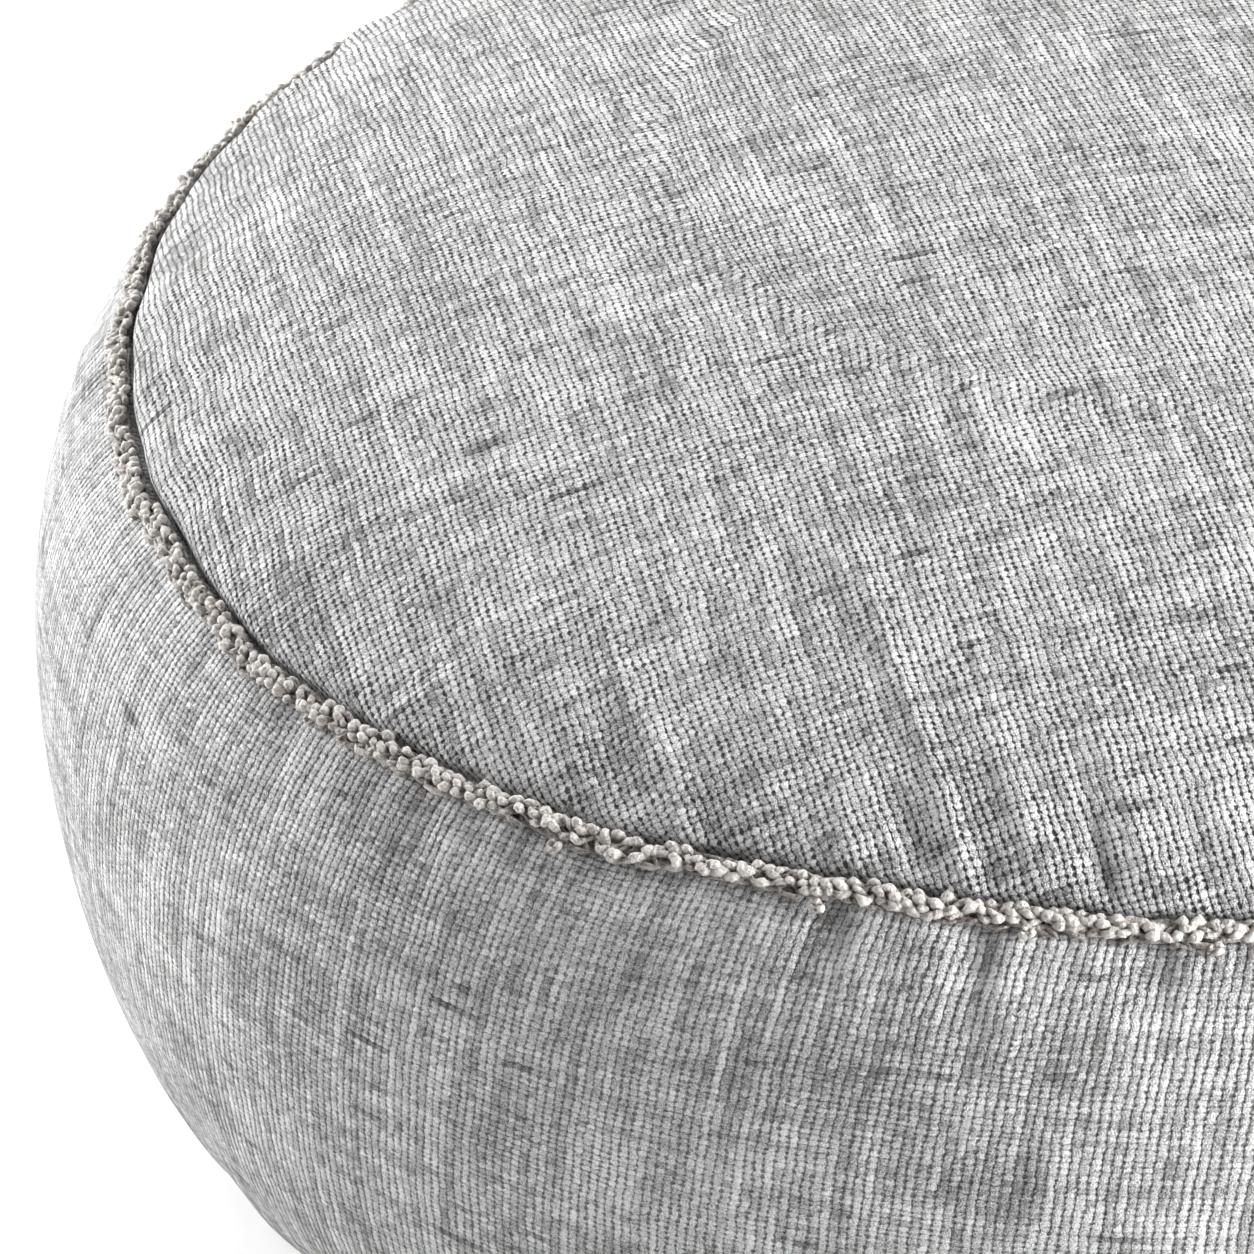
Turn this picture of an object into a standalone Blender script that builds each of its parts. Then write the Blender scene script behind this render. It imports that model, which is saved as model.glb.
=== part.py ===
# A round, low woven pouf. Four pieces: the crowned top panel, the bulging side band, the base panel that it
# rests on, and the yarn braid that lies in the seam between top and band. Each panel's solid is filled up to
# the next seam. Metres, +Z up, origin on the surface it rests on, under the middle of the base.

import math

import bmesh
import bpy

# Driving dimensions
SEAM_RADIUS = 0.270  # both seams, where the cloth of two panels meets
TOP_SEAM_HEIGHT = 0.184
BASE_SEAM_HEIGHT = 0.009
CROWN_RISE = 0.057  # dome of the top panel above its seam
CROWN_POWER = 0.79  # under 1 for full shoulders
EDGE_ROLL_RISE = 0.005  # last turn of the top's cloth, down into the seam
EDGE_ROLL_POWER = 36
WIDEST_RADIUS = 0.2975
WIDEST_HEIGHT = 0.104
BAND_ROUNDING = 0.0357  # half width of the ellipse that the band's bulge follows
BASE_FLAT_RADIUS = 0.246  # where the base leaves the surface
GAP = 0.0003  # between neighbouring pieces

# The braid's section is a flat oval that lies on the band's shoulder.
BRAID_WIDTH = 0.0062
BRAID_THICKNESS = 0.0036
BRAID_CLEARANCE = 0.0006  # under its middle, so that its ends stay clear of the rounded shoulder

# How fine the facets are
AROUND = 88
TOP_RINGS = 12
BAND_RINGS = 20
BASE_RINGS = 5
BRAID_SIDES = 10

# Soft puckers that run from the top seam, over one quarter of the pouf. The other quarters repeat them.
# Columns: place and half width in degrees, depth in the top and in the band in metres.
PUCKERS = (
    (6, 4.0, 0.0014, 0.0012),
    (19, 3.5, 0.0020, 0.0016),
    (31, 4.5, 0.0016, 0.0024),
    (44, 3.5, 0.0026, 0.0018),
    (55, 4.0, 0.0022, 0.0028),
    (66, 3.5, 0.0030, 0.0024),
    (76, 3.5, 0.0018, 0.0020),
    (85, 3.5, 0.0022, 0.0016),
)
TOP_COLUMN, BAND_COLUMN = 2, 3
TOP_PUCKER_REACH = 0.085  # how far they run in over the top
BAND_PUCKER_REACH = 0.055  # how far they run down the band
SWELLS = ((3, 0.0006, 0.4), (7, 0.0004, 1.9), (11, 0.0003, 3.1))  # lobes, size, phase: unevenly filled

# Columns: name, sRGB-linear colour, roughness
MATERIALS = (
    ("grey_slub_weave", (0.40, 0.40, 0.40, 1.0), 0.90),
    ("cream_yarn", (0.58, 0.56, 0.53, 1.0), 0.92),
)


def clear_scene():
    for item in list(bpy.data.objects):
        bpy.data.objects.remove(item, do_unlink=True)


def make_material(name, colour, roughness):
    material = bpy.data.materials.new(name)
    material.use_nodes = True
    shader = material.node_tree.nodes["Principled BSDF"]
    shader.inputs["Base Color"].default_value = colour
    shader.inputs["Roughness"].default_value = roughness
    shader.inputs["Metallic"].default_value = 0.0
    return material


def top_profile():
    """(radius, height) of the top panel's cloth, from its middle out to the seam."""
    points = []
    for ring in range(TOP_RINGS + 1):
        share = math.sin(math.pi / 2 * ring / TOP_RINGS)
        dome = CROWN_RISE * max(1 - share**2, 0) ** CROWN_POWER
        roll = EDGE_ROLL_RISE * math.sqrt(max(1 - share**EDGE_ROLL_POWER, 0))
        points.append((SEAM_RADIUS * share, TOP_SEAM_HEIGHT + dome + roll))
    return points


def seam_turn():
    """Angle of the band's ellipse at both seams, from its widest point."""
    return math.acos(1 - (WIDEST_RADIUS - SEAM_RADIUS) / BAND_ROUNDING)


def band_point(turn):
    """(radius, height) on the band, for an angle from -seam_turn() at the base to seam_turn() at the top."""
    seam_height = TOP_SEAM_HEIGHT if turn > 0 else BASE_SEAM_HEIGHT
    reach = abs(seam_height - WIDEST_HEIGHT) / math.sin(seam_turn())
    radius = WIDEST_RADIUS - BAND_ROUNDING * (1 - math.cos(turn))
    return radius, WIDEST_HEIGHT + reach * math.sin(turn)


def base_profile():
    """(radius, height) of the base panel's cloth, from the seam down to the flat it rests on."""
    points = []
    for ring in range(BASE_RINGS + 1):
        turn = math.pi / 2 * ring / BASE_RINGS
        radius = BASE_FLAT_RADIUS + (SEAM_RADIUS - BASE_FLAT_RADIUS) * math.cos(turn)
        points.append((radius, (BASE_SEAM_HEIGHT - GAP) * (1 - math.sin(turn))))
    return points


def pucker(angle, column):
    """Depth of the puckers at an angle around the pouf, in radians."""
    place = math.degrees(angle) % 90
    depth = 0.0
    for row in PUCKERS:
        offset = (place - row[0] + 45) % 90 - 45
        depth += row[column] * math.exp(-((offset / row[1]) ** 2))
    return depth


def swell(angle):
    return sum(size * math.cos(lobes * angle + phase) for lobes, size, phase in SWELLS)


def fade(distance, reach):
    """Grows from nothing at the seam, is full a tenth of the way in, and dies away over the reach."""
    share = distance / reach
    return min(share * 10, 1.0) * math.exp(-((1.6 * share) ** 2)) if share > 0 else 0.0


def top_relief(radius, angle, height):
    if height <= TOP_SEAM_HEIGHT + GAP:
        return radius, height
    inward = SEAM_RADIUS - radius
    dip = pucker(angle, TOP_COLUMN) * fade(inward, TOP_PUCKER_REACH)
    bulge = swell(angle) * math.sin(math.pi * min(radius / SEAM_RADIUS, 1.0)) ** 2
    return radius, height - dip + bulge


def band_relief(radius, angle, height):
    down = TOP_SEAM_HEIGHT - GAP - height
    up = height - BASE_SEAM_HEIGHT
    if down <= GAP or up <= GAP:
        return radius, height
    dip = pucker(angle, BAND_COLUMN) * fade(down, BAND_PUCKER_REACH)
    bulge = 2 * swell(angle) * math.sin(math.pi * up / (up + down))
    return radius - dip + bulge, height


def turned_body(name, profile, material, relief=None, closed_ring=False):
    """Spins a profile of (radius, height) points about the Z axis, then lets relief move each point."""
    bm = bmesh.new()
    points = [bm.verts.new((radius, 0.0, height)) for radius, height in profile]
    edges = [bm.edges.new(pair) for pair in zip(points, points[1:])]
    if closed_ring:
        edges.append(bm.edges.new((points[-1], points[0])))
    bmesh.ops.spin(
        bm, geom=points + edges, cent=(0, 0, 0), axis=(0, 0, 1), angle=2 * math.pi, steps=AROUND, use_merge=True
    )
    bmesh.ops.remove_doubles(bm, verts=bm.verts, dist=0.00001)
    for vert in bm.verts if relief else ():
        radius = math.hypot(vert.co.x, vert.co.y)
        angle = math.atan2(vert.co.y, vert.co.x)
        new_radius, new_height = relief(radius, angle, vert.co.z)
        vert.co = (new_radius * math.cos(angle), new_radius * math.sin(angle), new_height)
    bmesh.ops.recalc_face_normals(bm, faces=bm.faces)
    mesh = bpy.data.meshes.new(name)
    bm.to_mesh(mesh)
    bm.free()
    mesh.shade_smooth()
    mesh.set_sharp_from_angle(angle=math.radians(50))
    body = bpy.data.objects.new(name, mesh)
    body.data.materials.append(material)
    bpy.context.scene.collection.objects.link(body)
    return body


def make_top_panel(material):
    profile = top_profile() + [(0.0, TOP_SEAM_HEIGHT)]
    return turned_body("top_panel", profile, material, top_relief)


def make_side_band(material):
    turn = seam_turn()
    rows = [band_point(turn * (1 - 2 * ring / BAND_RINGS)) for ring in range(BAND_RINGS + 1)]
    rows[0] = (rows[0][0], TOP_SEAM_HEIGHT - GAP)
    profile = [(0.0, TOP_SEAM_HEIGHT - GAP)] + rows + [(0.0, BASE_SEAM_HEIGHT)]
    return turned_body("side_band", profile, material, band_relief)


def make_base_panel(material):
    profile = [(0.0, BASE_SEAM_HEIGHT - GAP)] + base_profile() + [(0.0, 0.0)]
    return turned_body("base_panel", profile, material)


def make_seam_braid(material):
    """The oval lies along the shoulder, its inner end against the turned edge of the top."""
    turn = seam_turn()
    radius, height = band_point(turn)
    next_radius, next_height = band_point(turn * 0.9)
    slope = math.atan2(next_height - height, next_radius - radius)
    along = (math.cos(slope), math.sin(slope))
    outward = (-math.sin(slope), math.cos(slope))
    start = BRAID_WIDTH / 2 + EDGE_ROLL_RISE / 6
    lift = BRAID_THICKNESS / 2 + BRAID_CLEARANCE
    middle = tuple((radius, height)[i] + start * along[i] + lift * outward[i] for i in range(2))
    profile = []
    for side in range(BRAID_SIDES):
        angle = 2 * math.pi * side / BRAID_SIDES
        across = BRAID_WIDTH / 2 * math.cos(angle)
        up = BRAID_THICKNESS / 2 * math.sin(angle)
        profile.append(tuple(middle[i] + across * along[i] + up * outward[i] for i in range(2)))
    return turned_body("seam_braid", profile, material, closed_ring=True)


def main():
    clear_scene()
    weave, yarn = [make_material(*row) for row in MATERIALS]
    make_top_panel(weave)
    make_side_band(weave)
    make_base_panel(weave)
    make_seam_braid(yarn)


main()
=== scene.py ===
import math
from functools import partial

import bpy
import numpy as np
from mathutils import Matrix, Vector, noise


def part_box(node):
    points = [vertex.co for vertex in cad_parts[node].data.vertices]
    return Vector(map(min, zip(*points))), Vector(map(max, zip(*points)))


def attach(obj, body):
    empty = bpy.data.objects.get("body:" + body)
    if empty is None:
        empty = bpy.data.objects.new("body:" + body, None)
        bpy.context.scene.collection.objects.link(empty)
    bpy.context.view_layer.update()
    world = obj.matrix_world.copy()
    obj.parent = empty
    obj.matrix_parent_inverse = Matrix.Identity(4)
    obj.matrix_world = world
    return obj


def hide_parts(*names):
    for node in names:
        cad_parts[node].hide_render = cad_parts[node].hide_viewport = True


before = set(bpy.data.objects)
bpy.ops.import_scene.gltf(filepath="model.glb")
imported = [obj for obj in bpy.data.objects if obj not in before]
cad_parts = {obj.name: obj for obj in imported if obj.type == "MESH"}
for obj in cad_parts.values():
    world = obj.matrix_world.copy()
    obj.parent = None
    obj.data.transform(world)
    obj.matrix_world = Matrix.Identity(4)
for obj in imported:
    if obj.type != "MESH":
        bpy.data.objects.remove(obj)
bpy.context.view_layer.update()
print("frame loaded:", sorted(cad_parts))

topLow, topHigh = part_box("top_panel")
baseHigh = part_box("base_panel")[1]

mm = 0.001
turn = 2 * math.pi

# The pouf's outline, as the CAD has it, and how deep the cloth turns down into the top seam
pouf = {
    "seamRadius": 0.270,
    "seamHeight": topLow.z,
    "baseSeamHeight": baseHigh.z,
    "widestRadius": 0.2975,
    "widestHeight": 0.104,
    "bandRounding": 0.0357,
    "crownPower": 0.79,
    "edgeRoll": 0.005,
    "edgeRollPower": 36,
    "baseFlat": 0.246,
    "seamWander": 0.30 * mm,
    # where the sewn line strays from a true circle: the place in degrees and how far along the slope of the
    # shoulder, out and down, in millimetres
    "seamBends": [
        (120, 0), (150, -2.4), (170, -3.2), (190, -2.8), (198, -2.2), (205.5, -2.1), (209, -1.2), (214, 0.9),
        (221, 1.6), (230, 1.3), (238, 1.2), (242, 0.0), (246, -0.2), (250, -1.7), (260, -1.9), (266, -1.5),
        (272, -1.0), (284, 0),
    ],
    "bendSlope": (0.89, -0.45),
    "valleyDepth": 3.4 * mm,
    "valleyReach": 5.0 * mm,
    "valleyInset": 0.6 * mm,
    "overhang": 0.5 * mm,
}
pouf["crownRise"] = topHigh.z - topLow.z - pouf["edgeRoll"]


# Small helpers

def hexColour(text):
    # sRGB hex to the linear colour that the shaders take
    channels = [int(text[i:i + 2], 16) / 255 for i in (1, 3, 5)]
    linear = [c / 12.92 if c <= 0.04045 else ((c + 0.055) / 1.055) ** 2.4 for c in channels]
    return (*linear, 1.0)


def deselectAll():
    if bpy.context.object and bpy.context.object.mode != "OBJECT":
        bpy.ops.object.mode_set(mode="OBJECT")
    bpy.ops.object.select_all(action="DESELECT")


def pick(piece):
    deselectAll()
    piece.select_set(True)
    bpy.context.view_layer.objects.active = piece
    return piece


def pointsOf(mesh):
    points = np.empty(len(mesh.vertices) * 3)
    mesh.vertices.foreach_get("co", points)
    return points.reshape(-1, 3)


def movePoints(mesh, points):
    mesh.vertices.foreach_set("co", points.astype(np.float32).ravel())
    mesh.update()


def ringWave(angle, seed, lobes):
    # a smooth random wave round the pouf, of sines with whole numbers of lobes
    rng = np.random.default_rng(seed)
    wave = np.zeros_like(angle)
    for count in range(*lobes):
        wave += rng.normal() * np.sin(count * angle + rng.uniform(0, turn))
    return wave / math.sqrt((lobes[1] - lobes[0]) / 2)


def bell(distance):
    return np.exp(-distance ** 2)


def angleFrom(angle, place):
    # how far round from a place, from minus half a turn to half a turn
    return (angle - place + math.pi) % turn - math.pi


def ease(value, start, end):
    # from 0 at start to 1 at end, smoothly
    share = np.clip((value - start) / (end - start), 0, 1)
    return share * share * (3 - 2 * share)


def ringPoints(radius, angle, height):
    return np.stack([radius * np.cos(angle), radius * np.sin(angle), height], 1)


def crownHeight(share):
    inside = np.clip(1 - share ** 2, 0, 1)
    rollInside = np.clip(1 - share ** pouf["edgeRollPower"], 0, 1)
    return pouf["crownRise"] * inside ** pouf["crownPower"] + pouf["edgeRoll"] * np.sqrt(rollInside)


def bandOutline(swing):
    # swing runs from 1 at the top seam, through 0 at the widest, to -1 at the base seam
    widest, rounding = pouf["widestRadius"], pouf["bandRounding"]
    seamTurn = math.acos(1 - (widest - pouf["seamRadius"]) / rounding)
    seam = np.where(swing > 0, pouf["seamHeight"], pouf["baseSeamHeight"])
    reach = np.abs(seam - pouf["widestHeight"]) / math.sin(seamTurn)
    radius = widest - rounding * (1 - np.cos(swing * seamTurn))
    return radius, pouf["widestHeight"] + reach * np.sin(swing * seamTurn)


def arcLengths(radius, height):
    return np.concatenate([[0], np.cumsum(np.hypot(np.diff(radius), np.diff(height)))])


def smoothRing(values, window):
    # a moving average that runs on round the ring
    wrapped = np.concatenate([values[-window:], values, values[:window]])
    return np.convolve(wrapped, np.ones(2 * window + 1) / (2 * window + 1), "valid")


def seamShift(angle):
    # how far the sewn line strays, outwards and up
    places, bends = zip(*pouf["seamBends"])
    degrees = np.arange(360)
    bends = smoothRing(np.interp(degrees, places, bends, left=0, right=0), 2)
    bend = np.interp(np.degrees(angle), degrees, bends, period=360) * mm
    out, up = pouf["bendSlope"]
    return (pouf["seamWander"] * ringWave(angle, 3, (9, 46)) + out * bend,
            pouf["seamWander"] * ringWave(angle, 4, (9, 46)) + up * bend)


# Materials

def addNode(tree, kind, inputs=(), **settings):
    # one node with its settings; its inputs, in order or by name, take a value, a socket or a node's first output
    node = tree.nodes.new("ShaderNode" + kind)
    for name, value in settings.items():
        setattr(node, name, value)
    for name, value in inputs.items() if isinstance(inputs, dict) else enumerate(inputs):
        if isinstance(value, bpy.types.Node):
            value = value.outputs[0]
        if isinstance(value, bpy.types.NodeSocket):
            tree.links.new(value, node.inputs[name])
        else:
            node.inputs[name].default_value = value
    return node


def newMaterial(name):
    material = bpy.data.materials.new(name)
    material.use_nodes = True
    return material, material.node_tree, material.node_tree.nodes["Principled BSDF"]


slubCloth = {
    "yarn": "#cdcdcd",
    "darkYarn": "#7f7d7c",
    "lightYarn": "#ffffff",
    # near-black colour of the painted shade in the pits and along the yarns' edges
    "gap": "#141211",
    "roughness": 0.88,
    "driftLength": 18 * mm,
    "jitterLength": 4.5 * mm,
    "frayLength": 1.1 * mm,
    "ribSlubLength": 26 * mm,
    "pickSlubLength": 15 * mm,
    "ribBand": (5 * mm, 50 * mm),
    "pickBand": (45 * mm, 5 * mm),
    "dashLength": 24 * mm,
    "dashRarity": 0.66,
    "patchLength": 38 * mm,
    "fibre": 0.42 * mm,
    # a pit's half width and half height in yarns, how sharp its edge is, and how uneven the pits are
    "pit": (0.25, 0.39),
    "pitSharpness": 2.8,
    "pitChance": 0.55,
    "slubPitLoss": -0.7,
    # height of the cloth's relief in rib pitches, and each part's share of it
    "relief": 1.0,
    "reliefShares": {"rib": 0.55, "pick": 0.45, "over": 0.05, "pit": -0.30, "fibre": 0.5},
    # how strongly each thing lightens or darkens the yarn
    "toneShares": {"rib": 1.15, "pick": 1.2, "bead": 0.32, "band": 0.75, "patch": 0.36, "fibre": 2.9, "dash": -0.9},
}


def slubWeave(name, ribPitch, pickPitch, ribbed, gapShade):
    # Slub linen and polyester upholstery cloth, a coarse plain weave: thick warp ribs over thinner picks.
    # It gives the eye rows of uneven beads with dark pits between them, dark dashes along the picks and paler ribs;
    # the pits and the yarns' edges are darkened with painted shade.
    material, tree, shader = newMaterial(name)
    add = partial(addNode, tree)

    def swayed(value, *sways):
        # a value with noises added to it, each taken about its middle and times its own gain
        for cloud, gain in sways:
            middle = add("Math", (cloud, 0.5), operation="SUBTRACT")
            value = add("Math", (middle, gain, value), operation="MULTIPLY_ADD")
        return value

    def roundYarn(side, slub, gain):
        # how high a thick and thin yarn stands, from its middle to its edges
        twice = add("Math", (side, 2.0), operation="MULTIPLY")
        share = add("Math", (twice, swayed(1.05, (slub, gain))), operation="DIVIDE")
        square = add("Math", (share, share), operation="MULTIPLY")
        rest = add("Math", (1.0, square), operation="SUBTRACT", use_clamp=True)
        return add("Math", (rest,), operation="SQRT")

    place = add("TexCoord").outputs["Object"]
    across, along = add("SeparateXYZ", (add("UVMap", uv_map="cloth"),)).outputs[:2]

    # the yarns don't lie quite straight, and their edges are frayed
    drift, jitter, fray = (
        add("SeparateXYZ", (add("TexNoise", {"Vector": place, "Scale": 1 / slubCloth[length], "Detail": 1.0,
                                             "Roughness": 0.5}).outputs["Color"],)).outputs
        for length in ("driftLength", "jitterLength", "frayLength"))
    ribs = swayed(add("Math", (across, ribPitch), operation="DIVIDE"),
                  (drift[0], 0.8), (jitter[0], 0.75 - 0.5 * ribbed), (fray[0], 0.8 - 0.5 * ribbed))
    picks = swayed(add("Math", (along, pickPitch), operation="DIVIDE"),
                   (drift[1], 1.3), (jitter[1], 0.65), (fray[1], 0.7))
    ribNumber, pickNumber = (add("Math", (yarns,), operation="FLOOR") for yarns in (ribs, picks))
    # how far a point is from the middle of its yarn: 0 at the middle, 0.5 at the edge
    fromStart = [add("Math", (yarns, number), operation="SUBTRACT")
                 for yarns, number in ((ribs, ribNumber), (picks, pickNumber))]
    fromMiddle = [add("Math", (start, 0.5), operation="SUBTRACT") for start in fromStart]
    ribSide, pickSide = (add("Math", (middle,), operation="ABSOLUTE") for middle in fromMiddle)
    crossing = add("CombineXYZ", (ribNumber, pickNumber))
    corner = add("CombineXYZ", [add("Math", (add("Math", (yarns, 0.5), operation="ADD"),), operation="FLOOR")
                                for yarns in (ribs, picks)])

    # each yarn has its own thick and thin places and its own tone along its run
    ribRun = add("CombineXYZ", (add("Math", (ribNumber, 3.71), operation="MULTIPLY"),
                                add("Math", (along, slubCloth["ribSlubLength"]), operation="DIVIDE")))
    pickRun = add("CombineXYZ", (add("Math", (across, slubCloth["pickSlubLength"]), operation="DIVIDE"),
                                 add("Math", (pickNumber, 4.37), operation="MULTIPLY")))
    ribSlub, pickSlub = (
        add("SeparateXYZ", (add("TexNoise", {"Vector": run, "Scale": 1.0, "Detail": 2.0,
                                             "Roughness": 0.6}).outputs["Color"],)).outputs
        for run in (ribRun, pickRun))
    dashRun = add("CombineXYZ", (add("Math", (across, slubCloth["dashLength"]), operation="DIVIDE"),
                                 add("Math", (pickNumber, 5.13), operation="MULTIPLY")))
    dash = add("TexNoise", {"Vector": dashRun, "Scale": 1.0, "Detail": 1.0, "Roughness": 0.5})
    dash = add("Math", (dash, slubCloth["dashRarity"]), operation="SUBTRACT")
    dash = add("Math", (dash, 8.0), operation="MULTIPLY", use_clamp=True)
    patch = add("TexNoise", {"Vector": place, "Scale": 1 / slubCloth["patchLength"], "Detail": 3.0, "Roughness": 0.6})
    patch = add("SeparateXYZ", (patch.outputs["Color"],)).outputs
    fibre = add("TexNoise", {"Vector": place, "Scale": 1 / slubCloth["fibre"], "Detail": 2.0, "Roughness": 0.65})
    rough = add("TexNoise", {"Vector": place, "Scale": 0.5 / slubCloth["fibre"], "Detail": 2.0, "Roughness": 0.6})
    bead, cornerChance = (add("TexWhiteNoise", {"Vector": number}, noise_dimensions="2D")
                          for number in (crossing, corner))

    ribRound = roundYarn(ribSide, ribSlub[0], 0.55)
    pickRound = roundYarn(pickSide, pickSlub[0], 0.8)
    # over and under from one crossing to the next; where the ribs stand proud the picks hardly show
    count = add("Math", (add("Math", (ribNumber, pickNumber), operation="ADD"),), operation="ABSOLUTE")
    over = add("Math", (count, 2.0), operation="MODULO")
    proud = swayed(ribbed, (patch[1], 3.2))
    proud.use_clamp = True
    shown = add("Math", (proud, -0.65, 1.0), operation="MULTIPLY_ADD")

    # between the crossings the cloth is open: a small pit in each corner, no two alike, and a faint line along the
    # edge of each yarn, both painted dark as shade
    ribReach, pickReach = (
        add("Math", (add("Math", (0.5, side), operation="SUBTRACT"), half), operation="DIVIDE")
        for side, half in zip((ribSide, pickSide), slubCloth["pit"]))
    squares = [add("Math", (reach, reach), operation="MULTIPLY") for reach in (ribReach, pickReach)]
    reach = add("Math", (add("Math", squares, operation="ADD"),), operation="SQRT")
    size = swayed(0.92 - 0.14 * ribbed, (cornerChance, slubCloth["pitChance"]),
                  (ribSlub[0], slubCloth["slubPitLoss"]), (pickSlub[0], slubCloth["slubPitLoss"]),
                  (rough, 2.2 - 1.2 * ribbed))
    size = add("Math", (dash, 0.40, size), operation="MULTIPLY_ADD")
    pit = add("Math", (size, reach), operation="SUBTRACT")
    pit = add("Math", (pit, slubCloth["pitSharpness"]), operation="MULTIPLY", use_clamp=True)
    ribLine = add("Math", (ribReach, -1.3, 1.0), operation="MULTIPLY_ADD", use_clamp=True)
    ribLine = add("Math", (ribLine, 0.42 + 0.25 * ribbed), operation="MULTIPLY")
    pickLine = add("Math", (pickReach, -1.9, 1.0), operation="MULTIPLY_ADD", use_clamp=True)
    pickDepth = add("Math", (dash, 0.55, add("Math", (shown, 0.42), operation="MULTIPLY")), operation="MULTIPLY_ADD")
    pickLine = add("Math", (pickLine, pickDepth), operation="MULTIPLY")
    dark = add("Math", (pit, add("Math", (ribLine, pickLine), operation="MAXIMUM")), operation="MAXIMUM")

    shares = slubCloth["reliefShares"]
    relief = add("Math", (ribRound, shares["rib"]), operation="MULTIPLY")
    pickShown = add("Math", (pickRound, shown), operation="MULTIPLY")
    for part, share in ((pickShown, shares["pick"]), (over, shares["over"]), (pit, shares["pit"])):
        relief = add("Math", (part, share, relief), operation="MULTIPLY_ADD")
    relief = swayed(relief, (fibre, shares["fibre"]))
    bump = add("Bump", {"Strength": 1.0, "Distance": slubCloth["relief"] * ribPitch, "Height": relief})

    # tone: each yarn's own, bands of a few yarns, broad patches, the dashes and the fibres
    shares = slubCloth["toneShares"]
    ribTone = swayed(0.0, (ribSlub[1], shares["rib"]))
    pickTone = swayed(-0.10, (pickSlub[1], shares["pick"]))
    onTop = add("Math", (over, proud), operation="MAXIMUM")
    tone = add("Mix", {0: onTop, 2: pickTone, 3: ribTone}, data_type="FLOAT")
    ribBand, pickBand = (
        add("TexNoise", {"Vector": add("CombineXYZ", [add("Math", (way, length), operation="DIVIDE")
                                                      for way, length in zip((across, along), slubCloth[band])]),
                         "Scale": 1.0, "Detail": 1.0, "Roughness": 0.5})
        for band in ("ribBand", "pickBand"))
    tone = swayed(tone, (bead, shares["bead"]), (ribBand, shares["band"]), (pickBand, shares["band"]),
                  (patch[0], shares["patch"]), (fibre, shares["fibre"] - 1.4 * ribbed))
    tone = add("Math", (dash, shares["dash"] + 0.5 * ribbed, tone), operation="MULTIPLY_ADD")
    ramp = add("ValToRGB", (add("Math", (tone, 0.5), operation="ADD"),))
    ramp.color_ramp.elements[0].color = hexColour(slubCloth["darkYarn"])
    ramp.color_ramp.elements[1].color = hexColour(slubCloth["lightYarn"])
    ramp.color_ramp.elements.new(0.5).color = hexColour(slubCloth["yarn"])
    # painted shade: the colour is darkened towards near black in the pits and along the yarns' edges, where hardly
    # any light reaches down
    colour = add("Mix", {"Factor": add("Math", (dark, gapShade), operation="MULTIPLY"),
                         6: ramp, 7: hexColour(slubCloth["gap"])}, data_type="RGBA")
    tree.links.new(colour.outputs[2], shader.inputs["Base Color"])
    tree.links.new(bump.outputs[0], shader.inputs["Normal"])
    shader.inputs["Roughness"].default_value = slubCloth["roughness"]
    shader.inputs["Specular IOR Level"].default_value = 0.25
    shader.inputs["Sheen Weight"].default_value = 0.12
    return material


trimYarn = {
    "pale": "#d3cfca",
    "dull": "#948c87",
    # the darkest end of the yarn's tones: painted shade for the yarn lying under the plait
    "under": "#484240",
    "roughness": 0.9,
    "fibre": 0.45 * mm,
    "lump": 1.1 * mm,
    "patch": 8 * mm,
    "relief": 0.38 * mm,
}


def softYarn(name):
    # Cotton boucle yarn, softly spun: cream where it puffs up, duller and greyer where it is drawn thin.
    material, tree, shader = newMaterial(name)
    add = partial(addNode, tree)
    where = add("TexCoord").outputs["Object"]
    tone = add("Attribute", attribute_name="tone").outputs["Fac"]
    fine = add("TexNoise", {"Vector": where, "Scale": 1 / trimYarn["fibre"], "Detail": 3.0, "Roughness": 0.65})
    lumpy = add("TexNoise", {"Vector": where, "Scale": 1 / trimYarn["lump"], "Detail": 1.0})
    broad = add("TexNoise", {"Vector": where, "Scale": 1 / trimYarn["patch"], "Detail": 2.0})
    relief = add("Math", (lumpy, 2.2, fine), operation="MULTIPLY_ADD")
    for cloud, gain in ((fine, 1.1), (lumpy, 0.7), (broad, 0.5)):
        shifted = add("Math", (cloud, 0.5), operation="SUBTRACT")
        tone = add("Math", (shifted, gain, tone), operation="MULTIPLY_ADD")
    ramp = add("ValToRGB", (tone,))
    # tones below the dull grey run down to painted shade
    ramp.color_ramp.elements[0].color = hexColour(trimYarn["under"])
    ramp.color_ramp.elements[1].color = hexColour(trimYarn["pale"])
    ramp.color_ramp.elements[1].position = 0.85
    ramp.color_ramp.elements.new(0.35).color = hexColour(trimYarn["dull"])
    bump = add("Bump", {"Strength": 1.0, "Distance": trimYarn["relief"], "Height": relief})
    tree.links.new(ramp.outputs[0], shader.inputs["Base Color"])
    tree.links.new(bump.outputs[0], shader.inputs["Normal"])
    shader.inputs["Roughness"].default_value = trimYarn["roughness"]
    shader.inputs["Specular IOR Level"].default_value = 0.2
    shader.inputs["Sheen Weight"].default_value = 0.15
    return material


# Cloth work shared by the panels

def cutDisc(name, radii, around):
    deselectAll()
    bpy.ops.mesh.primitive_circle_add(vertices=around, radius=radii[-1], fill_type="NOTHING")
    disc = bpy.context.object
    disc.name = name
    bpy.ops.object.mode_set(mode="EDIT")
    bpy.ops.mesh.select_all(action="SELECT")
    for outer, inner in zip(radii[::-1], radii[-2:0:-1]):
        bpy.ops.mesh.extrude_edges_move()
        bpy.ops.transform.resize(value=(inner / outer, inner / outer, 1))
    bpy.ops.mesh.extrude_edges_move()
    bpy.ops.mesh.merge(type="CENTER")
    bpy.ops.mesh.select_all(action="SELECT")
    bpy.ops.mesh.normals_make_consistent(inside=False)
    bpy.ops.object.mode_set(mode="OBJECT")
    return disc


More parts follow.
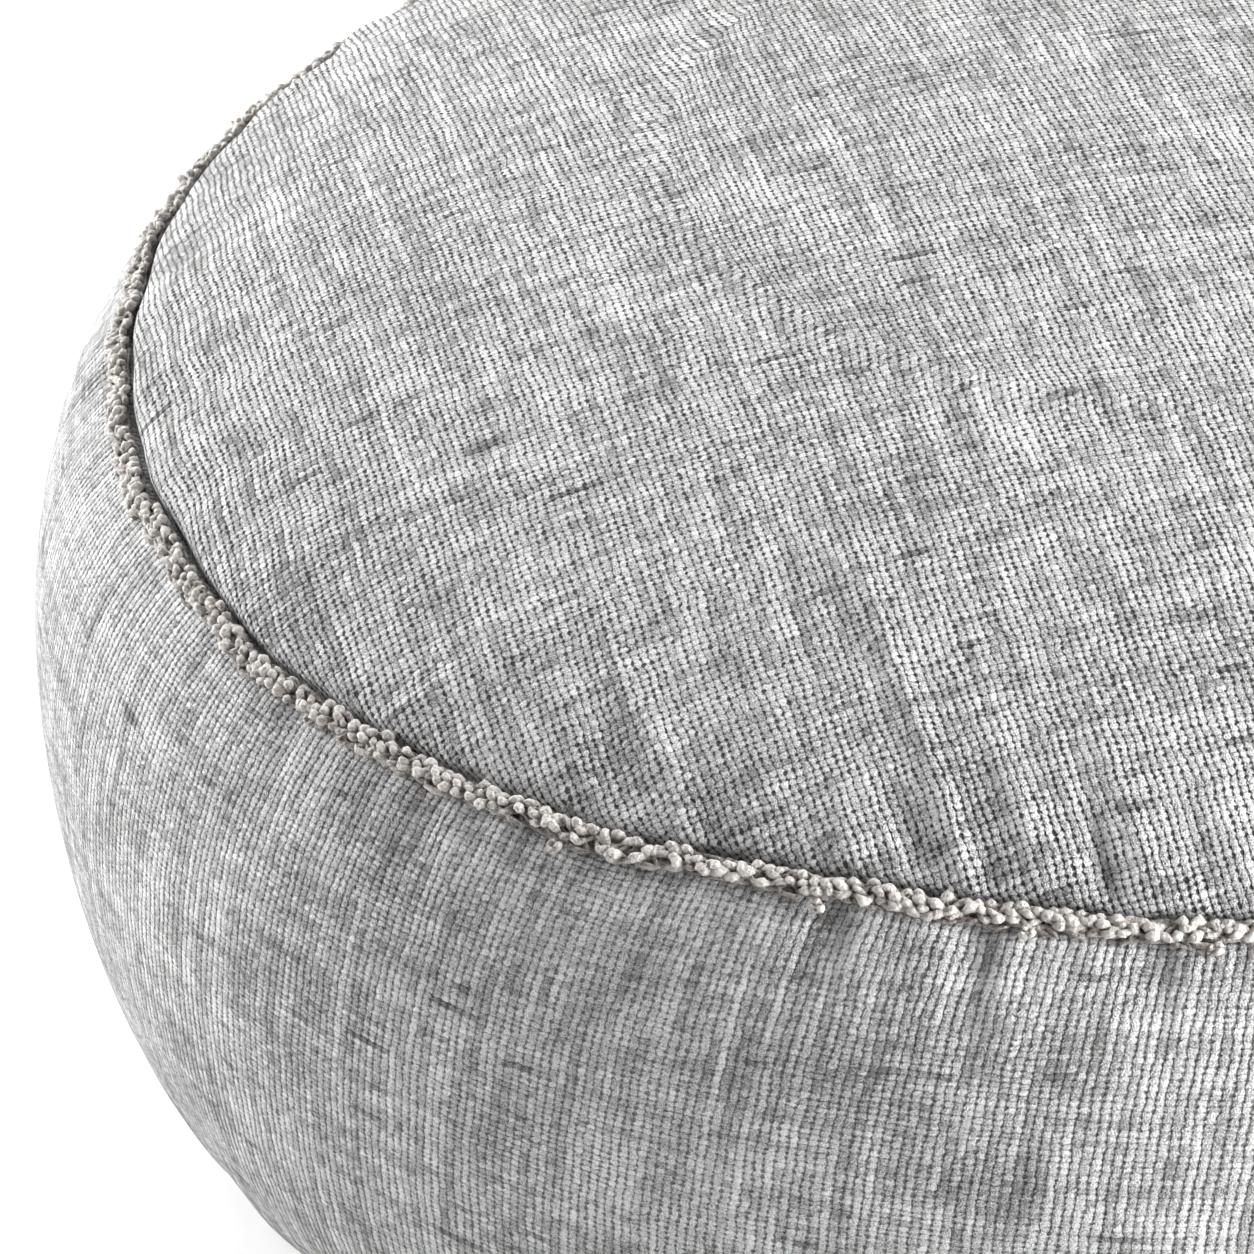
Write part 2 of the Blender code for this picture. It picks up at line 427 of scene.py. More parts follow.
def clothMap(piece, flat):
    # the piece's own map: its place in the flat cloth in metres, across the ribs and along them
    uvMap = piece.data.uv_layers.get("cloth") or piece.data.uv_layers.new(name="cloth")
    corner = np.empty(len(piece.data.loops), dtype=np.int64)
    piece.data.loops.foreach_get("vertex_index", corner)
    uvMap.data.foreach_set("uv", flat[corner].astype(np.float32).ravel())
    for spare in [layer.name for layer in piece.data.uv_layers if layer.name != "cloth"]:
        piece.data.uv_layers.remove(piece.data.uv_layers[spare])


clothing = {
    "give": 0.6,
    "slide": 0.25,
    "frames": 20,
    "quality": 4,
    "pressure": 4.0,
    "cap": 1.5 * mm,
}


def settleCloth(piece, restPoints, hold):
    # the cut cloth, sewn down at its edge and pressed out by the filling, finds its own puckers
    laid = pointsOf(piece.data)
    piece.shape_key_add(name="laid")
    cut = piece.shape_key_add(name="cut")
    cut.data.foreach_set("co", restPoints.astype(np.float32).ravel())
    cut.value = 0
    holdGroup = piece.vertex_groups.new(name="hold")
    for index, weight in enumerate(hold):
        if weight > 0:
            holdGroup.add([index], float(weight), "REPLACE")
    cloth = piece.modifiers.new("Cloth", "CLOTH")
    cloth.settings.quality = clothing["quality"]
    cloth.settings.mass = 0.3
    cloth.settings.tension_stiffness = 15
    cloth.settings.compression_stiffness = 15
    cloth.settings.shear_stiffness = 5
    cloth.settings.bending_stiffness = 0.5
    cloth.settings.use_pressure = True
    cloth.settings.uniform_pressure_force = clothing["pressure"]
    cloth.settings.vertex_group_mass = "hold"
    cloth.settings.rest_shape_key = cut
    cloth.settings.effector_weights.gravity = 0
    cloth.collision_settings.use_collision = False
    cloth.point_cache.frame_start = 1
    cloth.point_cache.frame_end = clothing["frames"]
    for step in range(1, clothing["frames"] + 1):
        bpy.context.scene.frame_set(step)
    settled = piece.evaluated_get(bpy.context.evaluated_depsgraph_get())
    moved = pointsOf(settled.data) - laid
    far = np.linalg.norm(moved, axis=1)
    share = np.minimum(1, clothing["cap"] / np.maximum(far, 1e-9))
    # the firm filling gives little, and friction on it keeps the cloth from sliding far in its own plane
    normals = np.empty(laid.size)
    piece.data.vertex_normals.foreach_get("vector", normals)
    normals = normals.reshape(-1, 3)
    outward = (moved * normals).sum(1)[:, None] * normals
    moved = clothing["give"] * outward + clothing["slide"] * (moved - outward)
    print(piece.name, "settled: mean", round(float(far.mean()) / mm, 2), "mm, most", round(float(far.max()) / mm, 2))
    piece.modifiers.remove(cloth)
    piece.shape_key_clear()
    piece.vertex_groups.remove(holdGroup)
    movePoints(piece.data, laid + moved * share[:, None])
    bpy.context.scene.frame_set(1)


def subdivide(piece, levels):
    pick(piece)
    rounder = piece.modifiers.new("Subdivision", "SUBSURF")
    rounder.levels = rounder.render_levels = levels
    rounder.uv_smooth = "NONE"
    bpy.ops.object.modifier_apply(modifier=rounder.name)


def flatPoints(mesh):
    # each point's place in the flat cloth, read back from the map
    corner = np.empty(len(mesh.loops), dtype=np.int64)
    mesh.loops.foreach_get("vertex_index", corner)
    uv = np.empty(len(mesh.loops) * 2)
    mesh.uv_layers["cloth"].data.foreach_get("uv", uv)
    flat = np.zeros((len(mesh.vertices), 2))
    flat[corner] = uv.reshape(-1, 2)
    return flat


def raiseCloth(piece, relief):
    # moves the surface out along its own normals
    normals = np.empty(len(piece.data.vertices) * 3)
    piece.data.vertex_normals.foreach_get("vector", normals)
    movePoints(piece.data, pointsOf(piece.data) + relief[:, None] * normals.reshape(-1, 3))


# Top panel: a disc cut from the cloth, laid over the filling

topPanel = {
    "around": 240,
    "innerRings": 5,
    "outerRings": 19,
    "innerShare": 0.5,
    "edgeCrowding": 1.8,
    "ribPitch": 1.96 * mm,
    "pickPitch": 1.81 * mm,
    "grainTurn": math.radians(106.6),
    # how far the ribs stand over the picks, and how dark the painted shade in the pits and along the yarns' edges is
    "ribbed": 0.42,
    "gapShade": 0.94,
    # puckers run in from the seam along the yarns: where each starts in degrees, the yarns it follows,
    # how far from the seam it begins and ends, its height and its half width in millimetres
    "puckerColumns": ("place", "follows", "begins", "ends", "height", "width"),
    "puckers": [
        (198.0, "picks", 2, 40, 0.36, 5), (204.5, "picks", 2, 55, -0.36, 5), (212.2, "ribs", 16, 34, -0.54, 3.5),
        (214.8, "picks", 2, 44, 0.54, 3.8), (219.8, "picks", 2, 40, -0.48, 4.5), (225.5, "picks", 26, 44, -0.66, 4),
        (227.2, "picks", 2, 78, 0.66, 3.6), (232.5, "picks", 4, 60, 0.42, 4.2), (243.3, "ribs", 20, 70, -1.5, 3.6),
        (244.0, "ribs", 4, 44, -0.6, 3.6), (247.3, "ribs", 1, 18, -1.1, 3), (246.5, "ribs", 26, 56, 0.9, 3.2),
        (254.5, "ribs", 2, 24, 0.7, 3.6), (257.6, "ribs", 10, 36, -1.8, 2.8), (259.9, "ribs", 5, 150, 1.7, 2.8),
        (260.8, "ribs", 1, 22, -1.3, 2.4), (263.4, "ribs", 1, 66, 1.3, 2.8), (266.2, "ribs", 2, 30, -2.0, 2.5),
        (268.4, "ribs", 2, 80, 0.9, 3.6), (271.0, "ribs", 14, 36, -1.0, 3.2), (273.0, "ribs", 3, 50, 0.9, 4),
    ],
    "unseen": {"seed": 5, "from": 277, "to": 530, "gap": (2.5, 7.5), "height": (0.4, 1.3), "width": (2.6, 5.0)},
}


def allPuckers():
    puckers = [dict(zip(topPanel["puckerColumns"], row)) for row in topPanel["puckers"]]
    unseen = topPanel["unseen"]
    rng = np.random.default_rng(unseen["seed"])
    place, side = unseen["from"], 1
    while place < unseen["to"]:
        alongRibs = abs(math.sin(math.radians(place) - topPanel["grainTurn"])) < 0.7
        puckers.append({"place": place, "follows": "ribs" if alongRibs else "picks",
                        "begins": rng.uniform(1, 6), "ends": rng.uniform(22, 80),
                        "height": side * rng.uniform(*unseen["height"]), "width": rng.uniform(*unseen["width"])})
        place += rng.uniform(*unseen["gap"])
        side = -side if rng.random() < 0.8 else side
    return puckers


def puckerRelief(across, along, edge):
    # summed over the puckers, at each place in the flat cloth
    relief = np.zeros_like(across)
    for pucker in allPuckers():
        place = math.radians(pucker["place"]) - topPanel["grainTurn"]
        # where it starts, and the way it runs, across the ribs and along them
        start = edge * np.array([math.sin(place), math.cos(place)])
        way = np.array([0.0, 1.0] if pucker["follows"] == "ribs" else [1.0, 0.0])
        if start @ way > 0:
            way = -way
        run = (across - start[0]) * way[0] + (along - start[1]) * way[1]
        aside = (across - start[0]) * way[1] - (along - start[1]) * way[0]
        fade = ease(run, -2 * mm, (pucker["begins"] + 6) * mm)
        fade = fade * (1 - ease(run, 0.35 * pucker["ends"] * mm, pucker["ends"] * mm))
        relief += pucker["height"] * mm * fade * bell(aside / (pucker["width"] * mm))
    return relief


def makeTopPanel(material):
    outer = np.linspace(0, 1, topPanel["outerRings"] + 1)[1:]
    innerShare = topPanel["innerShare"]
    shares = np.concatenate([np.linspace(0, innerShare, topPanel["innerRings"] + 1),
                             1 - (1 - innerShare) * (1 - outer) ** topPanel["edgeCrowding"]])
    fineShare = np.linspace(0, 1, 4001)
    cut = arcLengths(fineShare * pouf["seamRadius"], crownHeight(fineShare))
    edge = cut[-1]
    turnIn = pouf["valleyDepth"]
    cutRadii = np.concatenate([np.interp(shares, fineShare, cut), [edge + 0.5 * turnIn, edge + turnIn]])
    panel = cutDisc("topPanel", list(cutRadii), topPanel["around"])
    flat = pointsOf(panel.data)
    reach = np.hypot(flat[:, 0], flat[:, 1])
    angle = np.arctan2(flat[:, 1], flat[:, 0])
    grain = topPanel["grainTurn"]
    clothMap(panel, np.stack([flat[:, 1] * math.cos(grain) - flat[:, 0] * math.sin(grain),
                              flat[:, 0] * math.cos(grain) + flat[:, 1] * math.sin(grain)], 1))

    # laid over the filling, rolled over the edge and turned down and in at the seam
    share = np.interp(reach, cut, fineShare)
    outShift, upShift = seamShift(angle)
    nearSeam = ease(share, 0.8, 1.0)
    turned = np.clip((reach - edge) / turnIn, 0, 1)
    radius = share * pouf["seamRadius"] + nearSeam * outShift
    radius += pouf["overhang"] * bell((reach - edge + 2.5 * mm) / (2.5 * mm)) * (turned == 0)
    radius -= pouf["valleyInset"] * np.sin(turned * 0.75 * math.pi) / math.sin(0.75 * math.pi)
    height = pouf["seamHeight"] + crownHeight(share) + nearSeam * upShift - turnIn * turned
    movePoints(panel.data, ringPoints(radius, angle, height))

    hold = np.where(reach > edge - 2.5 * mm, 1.0, 0.0)
    hold = np.maximum(hold, 1 - ease(reach, 0.42 * edge, 0.62 * edge))
    settleCloth(panel, flat, hold)
    subdivide(panel, 2)

    across, along = flatPoints(panel.data).T
    # rounding draws the innermost rings apart, so the middle of the map is read back from the shape
    shape = pointsOf(panel.data)
    place = np.arctan2(shape[:, 1], shape[:, 0]) - grain
    drawn = np.interp(np.hypot(shape[:, 0], shape[:, 1]), fineShare * pouf["seamRadius"], cut)
    middle = 1 - ease(drawn, 0.3 * edge, 0.4 * edge)
    across = across + middle * (drawn * np.sin(place) - across)
    along = along + middle * (drawn * np.cos(place) - along)
    clothMap(panel, np.stack([across, along], 1))
    reach = np.hypot(across, along)
    angle = np.arctan2(along, across)
    relief = puckerRelief(across, along, edge)
    relief += 0.12 * mm * ringWave(angle, 8, (30, 110)) * ease(reach, edge - 45 * mm, edge - 8 * mm)
    raiseCloth(panel, relief * (1 - ease(reach, edge - 4 * mm, edge)))
    panel.data.materials.append(material)
    print("top disc cut", round(2 * edge, 3), "m across")
    return panel


# Side band: a strip of the same cloth, its ribs running down, sewn into a ring

sideBand = {
    "around": 240,
    "rows": 25,
    "crowding": 0.84,
    "join": math.radians(90),
    "ribsAround": 804,
    "pickPitch": 1.47 * mm,
    "ribbed": 0.65,
    # how dark the painted shade in the band's pits and along its yarns' edges is
    "gapShade": 0.66,
    "leanTop": 0.20,
    "leanFall": -0.34,
    "lip": 0.4 * mm,
    "spare": 0.045,
    "joinDepth": 0.8 * mm,
    "joinWidth": 1.8 * mm,
    # gathers under the top seam: where each lies in degrees, its depth, its half widths on either side
    # (the cloth leans over to one side in them) and its length in millimetres
    "gatherColumns": ("place", "depth", "left", "right", "length"),
    "gathers": [
        (197.0, 0.6, 6, 6, 30), (203.0, 0.5, 5, 5, 34), (208.0, 0.8, 6, 4, 46), (214.2, 0.8, 5, 4, 26),
        (222.4, 1.8, 6, 4, 34), (232.4, 1.1, 7, 4, 46), (235.0, 1.2, 4, 3, 22), (239.0, 0.3, 6, 4.5, 24),
        (243.0, 0.4, 6, 4.5, 20), (247.6, 0.5, 8, 4.5, 20), (253.4, 2.7, 7, 4, 30), (260.2, 2.0, 7, 4, 42),
        (264.0, 0.5, 5, 3, 20), (268.4, 2.4, 7, 4, 32), (273.0, 1.5, 8, 4, 34),
    ],
    "unseen": {"seed": 9, "from": 278, "to": 553, "gap": (3.5, 8.5), "depth": (0.5, 2.2), "left": (4, 11),
               "right": (3, 6), "length": (20, 52)},
}


def allGathers():
    gathers = [dict(zip(sideBand["gatherColumns"], row)) for row in sideBand["gathers"]]
    unseen = sideBand["unseen"]
    rng = np.random.default_rng(unseen["seed"])
    place = unseen["from"]
    while place < unseen["to"]:
        sizes = {name: rng.uniform(*unseen[name]) for name in sideBand["gatherColumns"][1:]}
        gathers.append({"place": place, **sizes})
        place += rng.uniform(*unseen["gap"])
    return gathers


def gatherRelief(angle, down):
    relief = np.zeros_like(angle)
    for gather in allGathers():
        aside = angleFrom(angle, math.radians(gather["place"])) * pouf["seamRadius"]
        aside = aside / (np.where(aside < 0, gather["left"], gather["right"]) * mm)
        fade = 1 - ease(down, 0.25 * gather["length"] * mm, gather["length"] * mm)
        relief -= gather["depth"] * mm * fade * (bell(aside) - 0.32 * bell(aside / 2.2))
    return relief


def makeSideBand(material):
    swings = np.linspace(1, -1, 4001)
    arc = arcLengths(*bandOutline(swings))
    length = turn * pouf["widestRadius"]
    deselectAll()
    bpy.ops.mesh.primitive_grid_add(x_subdivisions=sideBand["around"], y_subdivisions=sideBand["rows"], size=1)
    band = bpy.context.object
    band.name = "sideBand"
    flat = pointsOf(band.data)
    row = 0.5 - flat[:, 1]
    row -= sideBand["crowding"] * np.sin(turn * row) / turn
    down = row * arc[-1]
    angle = (flat[:, 0] + 0.5) * turn + sideBand["join"]
    leanAt = down / pouf["seamRadius"]
    lean = sideBand["leanTop"] * leanAt + sideBand["leanFall"] * leanAt ** 2 / 2
    clothMap(band, np.stack([(angle + lean) / turn * length, down], 1))

    # bent round the filling, its top edge turned down into the seam
    radius, height = bandOutline(np.interp(down, arc, swings))
    outShift, upShift = seamShift(angle)
    nearSeam = 1 - ease(down, 0, 25 * mm)
    valley = np.clip(1 - down / pouf["valleyReach"], 0, 1) ** 1.6
    radius += nearSeam * outShift - pouf["valleyInset"] * valley ** 3
    height += nearSeam * upShift - pouf["valleyDepth"] * valley
    movePoints(band.data, ringPoints(radius, angle, height))
    pick(band)
    bpy.ops.object.mode_set(mode="EDIT")
    bpy.ops.mesh.select_all(action="SELECT")
    bpy.ops.mesh.remove_doubles(threshold=0.00001)
    bpy.ops.mesh.normals_make_consistent(inside=False)
    bpy.ops.object.mode_set(mode="OBJECT")

    # the strip was cut as long as the pouf is round at its widest, so its top edge has cloth to spare
    laid = pointsOf(band.data)
    angle = np.arctan2(laid[:, 1], laid[:, 0])
    radius = np.hypot(laid[:, 0], laid[:, 1])
    fromSeam = pouf["seamHeight"] - laid[:, 2]
    spare = sideBand["spare"] * (1 - ease(fromSeam, 4 * mm, 45 * mm)) * (0.6 + 0.4 * ringWave(angle, 17, (6, 24)))
    hold = np.where(fromSeam < 2 * mm, 1.0, 0.0)
    hold = np.maximum(hold, ease(fromSeam, 64 * mm, 154 * mm))
    settleCloth(band, ringPoints(radius * (1 + spare), angle, laid[:, 2]), hold)
    subdivide(band, 2)

    down = flatPoints(band.data)[:, 1]
    laid = pointsOf(band.data)
    angle = np.arctan2(laid[:, 1], laid[:, 0])
    relief = gatherRelief(angle, down) * ease(down, 1.5 * mm, 7 * mm)
    relief += sideBand["lip"] * bell((down - 8 * mm) / (5 * mm))
    fromBase = arc[-1] - down
    nearBase = ease(fromBase, 1 * mm, 6 * mm) * (1 - ease(fromBase, 8 * mm, 36 * mm))
    relief += 0.5 * mm * ringWave(angle, 14, (30, 80)) * nearBase
    # the strip's two ends meet in a sewn line at the back
    relief -= sideBand["joinDepth"] * bell(angleFrom(angle, sideBand["join"]) * radius.mean() / sideBand["joinWidth"])
    raiseCloth(band, relief)
    band.data.materials.append(material)
    print("band strip cut", round(length, 3), "by", round(arc[-1], 3), "m")
    return band


# Base panel: plain, flat where it rests

basePanel = {
    "around": 180,
    "flatRings": 8,
    "turnRings": 8,
}


def makeBasePanel(material):
    flatRadii = np.linspace(0, pouf["baseFlat"], basePanel["flatRings"] + 1)
    swing = np.linspace(0, math.pi / 2, basePanel["turnRings"] + 1)[1:]
    width = pouf["seamRadius"] - pouf["baseFlat"]
    radii = np.concatenate([flatRadii, pouf["baseFlat"] + width * np.sin(swing)])
    heights = np.concatenate([np.zeros_like(flatRadii), pouf["baseSeamHeight"] * (1 - np.cos(swing))])
    arc = arcLengths(radii, heights)
    panel = cutDisc("basePanel", list(arc), basePanel["around"])
    flat = pointsOf(panel.data)
    clothMap(panel, flat[:, :2])
    reach = np.hypot(flat[:, 0], flat[:, 1])
    angle = np.arctan2(flat[:, 1], flat[:, 0])
    movePoints(panel.data, ringPoints(np.interp(reach, arc, radii), angle, np.interp(reach, arc, heights)))
    panel.data.flip_normals()
    panel.data.materials.append(material)
    print("base disc cut", round(2 * arc[-1], 3), "m across")
    return panel


# Seam braid: four thick-and-thin yarns plaited loosely over drawn cords, with knots that stray over the band

braid = {
    "lieAngle": math.radians(-27),
    "startRadius": 0.2740,
    "startHeight": 0.1829,
    "points": 2760,
    "strands": 4,
    "puffs": 380,
    "rows": 3,
    "rowsApart": 2.4 * mm,
    "puffRadius": (0.68 * mm, 1.34 * mm),
    "puffHalfLength": (0.85 * mm, 1.7 * mm),
    "thinRadius": 0.48 * mm,
    "lump": 0.50 * mm,
    "lumpLength": 1.3 * mm,
    "lumpSeed": 12,
    "loops": 300,
    "pointsPerLoop": 10,
    # cords under and beside the plait: side and lift of each, its radius, and its tone; the cords are the yarn's dull
    # grey, and the one under the plait's middle is toned darker as painted shade for the gaps between the puffs
    "cords": [(-2.2, -0.90, 0.50, 0.30), (-1.4, -0.8, 0.75, 0.28), (0.2, -0.8, 0.95, 0.20), (1.6, -0.80, 0.75, 0.28)],
    # knots over the band: where in degrees, and how far below the braid in millimetres
    "knots": [(223.5, 3.6), (239.5, 4.4), (252.8, 4.9), (262.5, 3.8), (271, 4.3)],
    "unseenKnots": 34,
}


def braidPoints(angle, side, lift):
    # side is across the braid, outwards and down the band's shoulder; lift is off the shoulder
    outShift, upShift = seamShift(angle)
    lie = braid["lieAngle"]
    radius = braid["startRadius"] + outShift + side * math.cos(lie) - lift * math.sin(lie)
    height = braid["startHeight"] + upShift + side * math.sin(lie) + lift * math.cos(lie)
    return ringPoints(radius, angle, height)


def spun(name, strands):
    # strands, each a closed line of points with radii and tones, as one mesh of yarns
    curve = bpy.data.curves.new(name, "CURVE")
    curve.dimensions = "3D"
    curve.bevel_depth = 1.0
    curve.bevel_resolution = 2
    curve.resolution_u = 1
    allPoints, allRadii, allTones = zip(*strands)
    for points, radii in zip(allPoints, allRadii):
        spline = curve.splines.new("POLY")
        spline.points.add(len(points) - 1)
        spline.points.foreach_set("co", np.column_stack([points, np.ones(len(points))]).ravel())
        spline.points.foreach_set("radius", radii)
        spline.use_cyclic_u = True
    yarns = bpy.data.objects.new(name, curve)
    bpy.context.scene.collection.objects.link(yarns)
    pick(yarns)
    bpy.ops.object.convert(target="MESH")
    yarns = bpy.context.object
    tones = np.concatenate(allTones)
    perRing = len(yarns.data.vertices) // len(tones)
    attribute = yarns.data.attributes.new("tone", "FLOAT", "POINT")
    attribute.data.foreach_set("value", np.repeat(tones, perRing).astype(np.float32))
    # boucle yarn is lumpy, and the thicker the softer
    points = pointsOf(yarns.data)
    thick = np.repeat(np.concatenate(allRadii), perRing)
    noise.seed_set(braid["lumpSeed"])
    lumps = np.array([noise.noise_vector(Vector(point) / braid["lumpLength"])[:] for point in points])
    movePoints(yarns.data, points + lumps * (thick * braid["lump"] / (1.0 * mm))[:, None])
    print(name, "spun from", len(strands), "strands")
    return yarns


def plaitStrands():
    rng = np.random.default_rng(21)
    total = braid["strands"] * braid["puffs"]
    # puffs come in three loose rows, crowded here and sparse there
    place = np.arange(total) + rng.uniform(-0.45, 0.45, total)
    place = place / total * turn
    place += 0.5 * turn / total * ringWave(place, 22, (30, 120))
    row = np.where(rng.random(total) < 0.85, np.arange(total) % braid["rows"], rng.integers(0, braid["rows"], total))
    row = row - (braid["rows"] - 1) / 2
    side = row * braid["rowsApart"] + rng.normal(0, 0.4 * mm, total)
    size = rng.beta(1.6, 1.1, total)
    radius = braid["puffRadius"][0] + size * np.ptp(braid["puffRadius"])
    halfLength = braid["puffHalfLength"][0] + rng.random(total) * np.ptp(braid["puffHalfLength"])
    angle = np.arange(braid["points"]) / braid["points"] * turn
    strands = []
    for strand in range(braid["strands"]):
        own = slice(strand, None, braid["strands"])
        centres = place[own]
        puffs = np.concatenate([centres[-1:] - turn, centres, centres[:1] + turn])
        before = np.clip(np.searchsorted(puffs, angle, "right") - 1, 0, len(puffs) - 2)
        share = (angle - puffs[before]) / (puffs[before + 1] - puffs[before])
        # the yarn sways from one puff's side to the next, and each puff keeps its own size
        sides, thick, long, rows, sizes = (np.concatenate([values[own][-1:], values[own], values[own][:1]])
                                           for values in (side, radius, halfLength, row, size))
        sway = sides[before] + (sides[before + 1] - sides[before]) * share
        nearest = np.where(share < 0.5, before, before + 1)
        away = np.abs(angle - puffs[nearest]) * braid["startRadius"]
        puff = bell(away / long[nearest])
        radii = braid["thinRadius"] + (thick[nearest] - braid["thinRadius"]) * puff
        sway = smoothRing(sway, 2) + 0.2 * mm * ringWave(angle, 80 + strand, (100, 600))
        lift = -0.1 * mm + (0.75 * thick[nearest] + 0.4 * mm * (rows[nearest] == 0)) * puff
        lift += 0.2 * mm * ringWave(angle, 90 + strand, (50, 500))
        tone = 0.34 + 0.60 * puff * (0.55 + 0.45 * sizes[nearest]) + 0.05 * ringWave(angle, 95 + strand, (20, 120))
        strands.append((braidPoints(angle, sway, smoothRing(lift, 1)), radii, tone))
    return strands


def looseStrands():
    # a thinner yarn in loops over and under the plait, that strays now and then over the band
    count = braid["loops"] * braid["pointsPerLoop"]
    angle = np.arange(count) / count * turn
    rng = np.random.default_rng(33)
    loop = np.arange(count) // braid["pointsPerLoop"]
    reach = rng.gamma(2.0, 0.45, braid["loops"])[loop] * mm
    phase = angle * braid["loops"]
    out = 0.5 - 0.5 * np.cos(phase)
    side = -1.6 * mm + out * (3.4 * mm + reach) + 0.3 * mm * ringWave(angle, 34, (60, 500))
    lift = -0.5 * mm + 1.1 * mm * (1 - out) * (0.5 + 0.5 * np.sin(phase)) + 0.3 * mm * ringWave(angle, 35, (60, 500))
    puff = rng.uniform(0, 1, braid["loops"])[loop] * out ** 2
    sway = 0.4 * turn / braid["loops"] * np.sin(2 * phase + ringWave(angle, 36, (20, 90)))
    return [(braidPoints(angle + sway, side, lift), (0.5 + 0.45 * puff) * mm, 0.22 + 0.45 * puff)]


def cordStrands():
    count = 1500
    angle = np.arange(count) / count * turn
    strands = []
    for index, (side, lift, radius, tone) in enumerate(braid["cords"]):
        side = side * mm + 0.22 * mm * ringWave(angle, 100 + index, (40, 260))
        lift = lift * mm + 0.15 * mm * ringWave(angle, 110 + index, (40, 260))
        radii = radius * mm * (1 + 0.18 * ringWave(angle, 120 + index, (200, 500)))
        strands.append((braidPoints(angle, side, lift), radii, tone + 0.10 * ringWave(angle, 130 + index, (30, 200))))
    return strands


def knotStrands():
    # small closed curls of three puffs
    rng = np.random.default_rng(44)
    unseen = [(rng.uniform(280, 534), rng.uniform(3.2, 4.8)) for _ in range(braid["unseenKnots"])]
    strands = []
    for place, below in braid["knots"] + unseen:
        curl = np.arange(12) / 12 * turn
        angle = math.radians(place) + 1.25 * mm * np.cos(curl) / braid["startRadius"]
        side = below * mm + 1.05 * mm * np.sin(curl + rng.uniform(-0.4, 0.4))
        puff = (0.5 + 0.5 * np.cos(3 * curl + rng.uniform(0, turn))) * np.repeat(rng.uniform(0.5, 1.0, 3), 4)
        points = braidPoints(angle, side, -0.35 * mm + 0.5 * mm * puff)
        strands.append((points, (0.5 + 0.55 * puff) * mm, 0.35 + 0.6 * puff))
    return strands


def makeBraid(material):
    plait = spun("seamBraid", plaitStrands())
    loose = spun("looseYarns", looseStrands() + cordStrands() + knotStrands())
    for piece in (plait, loose):
        piece.data.materials.append(material)
    return plait, loose


# Floor, light and camera

studio = {
    "floor": "#f2f2f2",
    "floorGlow": 0.20,
    "room": 0.12,
    "centreHeight": 0.15,
    # softboxes round the pouf: place in degrees from +X, height in degrees, distance, size and power
    "softboxColumns": ("name", "azimuth", "elevation", "distance", "size", "power"),
    "softboxes": [
        ("keyLight", 345, 30, 2.4, 1.2, 84), ("lowFrontLight", 328, 7, 2.4, 1.2, 82),
        ("rimLight", 156, 10, 2.4, 1.6, 142), ("backLight", 118, 32, 2.4, 1.4, 46),
    ],
    "cameraPlace": (0.0, -1.4664, 0.9998),
    "cameraAim": (-0.1431, -0.0448, 0.1160),
    "cameraRoll": math.radians(-2.14),
    "cameraLens": 191.9,
}


def addSoftbox(name, azimuth, elevation, distance, size, power):
    centre = Vector((0, 0, studio["centreHeight"]))
    around, up = math.radians(azimuth), math.radians(elevation)
    way = Vector((math.cos(around) * math.cos(up), math.sin(around) * math.cos(up), math.sin(up)))
    deselectAll()
    bpy.ops.object.light_add(type="AREA", location=centre + distance * way)
    light = bpy.context.object
    light.name = name
    light.data.shape = "SQUARE"
    light.data.size = size
    light.data.energy = power
    light.rotation_euler = way.to_track_quat("Z", "Y").to_euler()


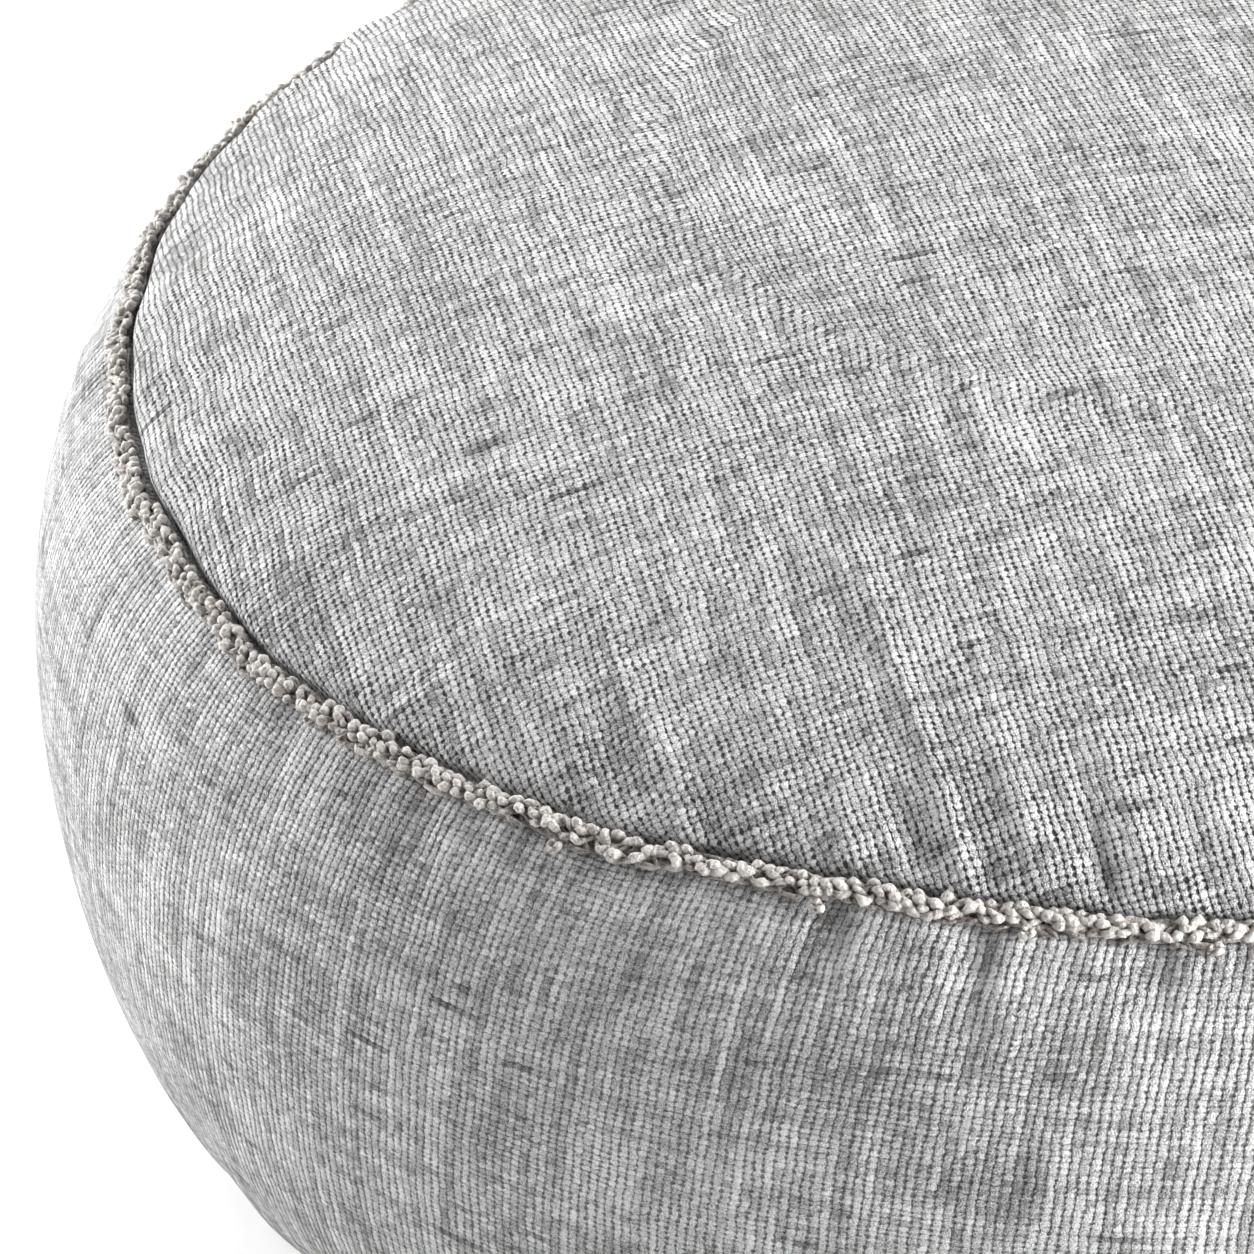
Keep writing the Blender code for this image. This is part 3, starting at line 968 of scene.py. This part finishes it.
def makeStudio():
    deselectAll()
    bpy.ops.mesh.primitive_plane_add(size=12, location=(0, 0, 0))
    floor = bpy.context.object
    floor.name = "floor"
    # white matt paper sweep, lit so brightly that only a faint shadow shows on it
    material, tree, shader = newMaterial("mattPaper")
    add = partial(addNode, tree)
    shader.inputs["Base Color"].default_value = hexColour(studio["floor"])
    shader.inputs["Roughness"].default_value = 0.9
    shader.inputs["Emission Color"].default_value = (1, 1, 1, 1)
    glow = add("Math", (add("LightPath").outputs["Is Camera Ray"], studio["floorGlow"]), operation="MULTIPLY")
    tree.links.new(glow.outputs[0], shader.inputs["Emission Strength"])
    floor.data.materials.append(material)
    for row in studio["softboxes"]:
        addSoftbox(**dict(zip(studio["softboxColumns"], row)))
    world = bpy.data.worlds.new("room")
    bpy.context.scene.world = world
    world.use_nodes = True
    back = world.node_tree.nodes["Background"]
    seen = addNode(world.node_tree, "LightPath").outputs["Is Camera Ray"]
    strength = addNode(world.node_tree, "Mix", {0: seen, 2: studio["room"], 3: 1.0}, data_type="FLOAT")
    world.node_tree.links.new(strength.outputs[0], back.inputs["Strength"])
    back.inputs["Color"].default_value = (1, 1, 1, 1)


def makeCamera():
    deselectAll()
    bpy.ops.object.camera_add(location=studio["cameraPlace"])
    camera = bpy.context.object
    camera.name = "camera"
    camera.data.lens = studio["cameraLens"]
    camera.data.sensor_width = 36
    look = (Vector(studio["cameraAim"]) - Vector(studio["cameraPlace"])).to_track_quat("-Z", "Y")
    camera.rotation_euler = (look.to_matrix() @ Matrix.Rotation(studio["cameraRoll"], 3, "Z")).to_euler()
    bpy.context.scene.camera = camera


makeCamera()
makeStudio()
bpy.context.scene.view_settings.view_transform = "Standard"
print("studio ready")

topWeave = slubWeave("slubWeaveTop", topPanel["ribPitch"], topPanel["pickPitch"], topPanel["ribbed"],
                     topPanel["gapShade"])
bandRibPitch = turn * pouf["widestRadius"] / sideBand["ribsAround"]
bandWeave = slubWeave("slubWeaveBand", bandRibPitch, sideBand["pickPitch"], sideBand["ribbed"], sideBand["gapShade"])
yarn = softYarn("creamBoucleYarn")

panels = [
    (makeTopPanel(topWeave), "top_panel"),
    (makeSideBand(bandWeave), "side_band"),
    (makeBasePanel(bandWeave), "base_panel"),
]
for piece, node in panels:
    piece.data.shade_smooth()
    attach(piece, "root")
    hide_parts(node)
    print("made", piece.name, len(piece.data.polygons), "faces")

for piece in makeBraid(yarn):
    piece.data.shade_smooth()
    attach(piece, "root")
    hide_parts("seam_braid")
    print("made", piece.name, len(piece.data.polygons), "faces")
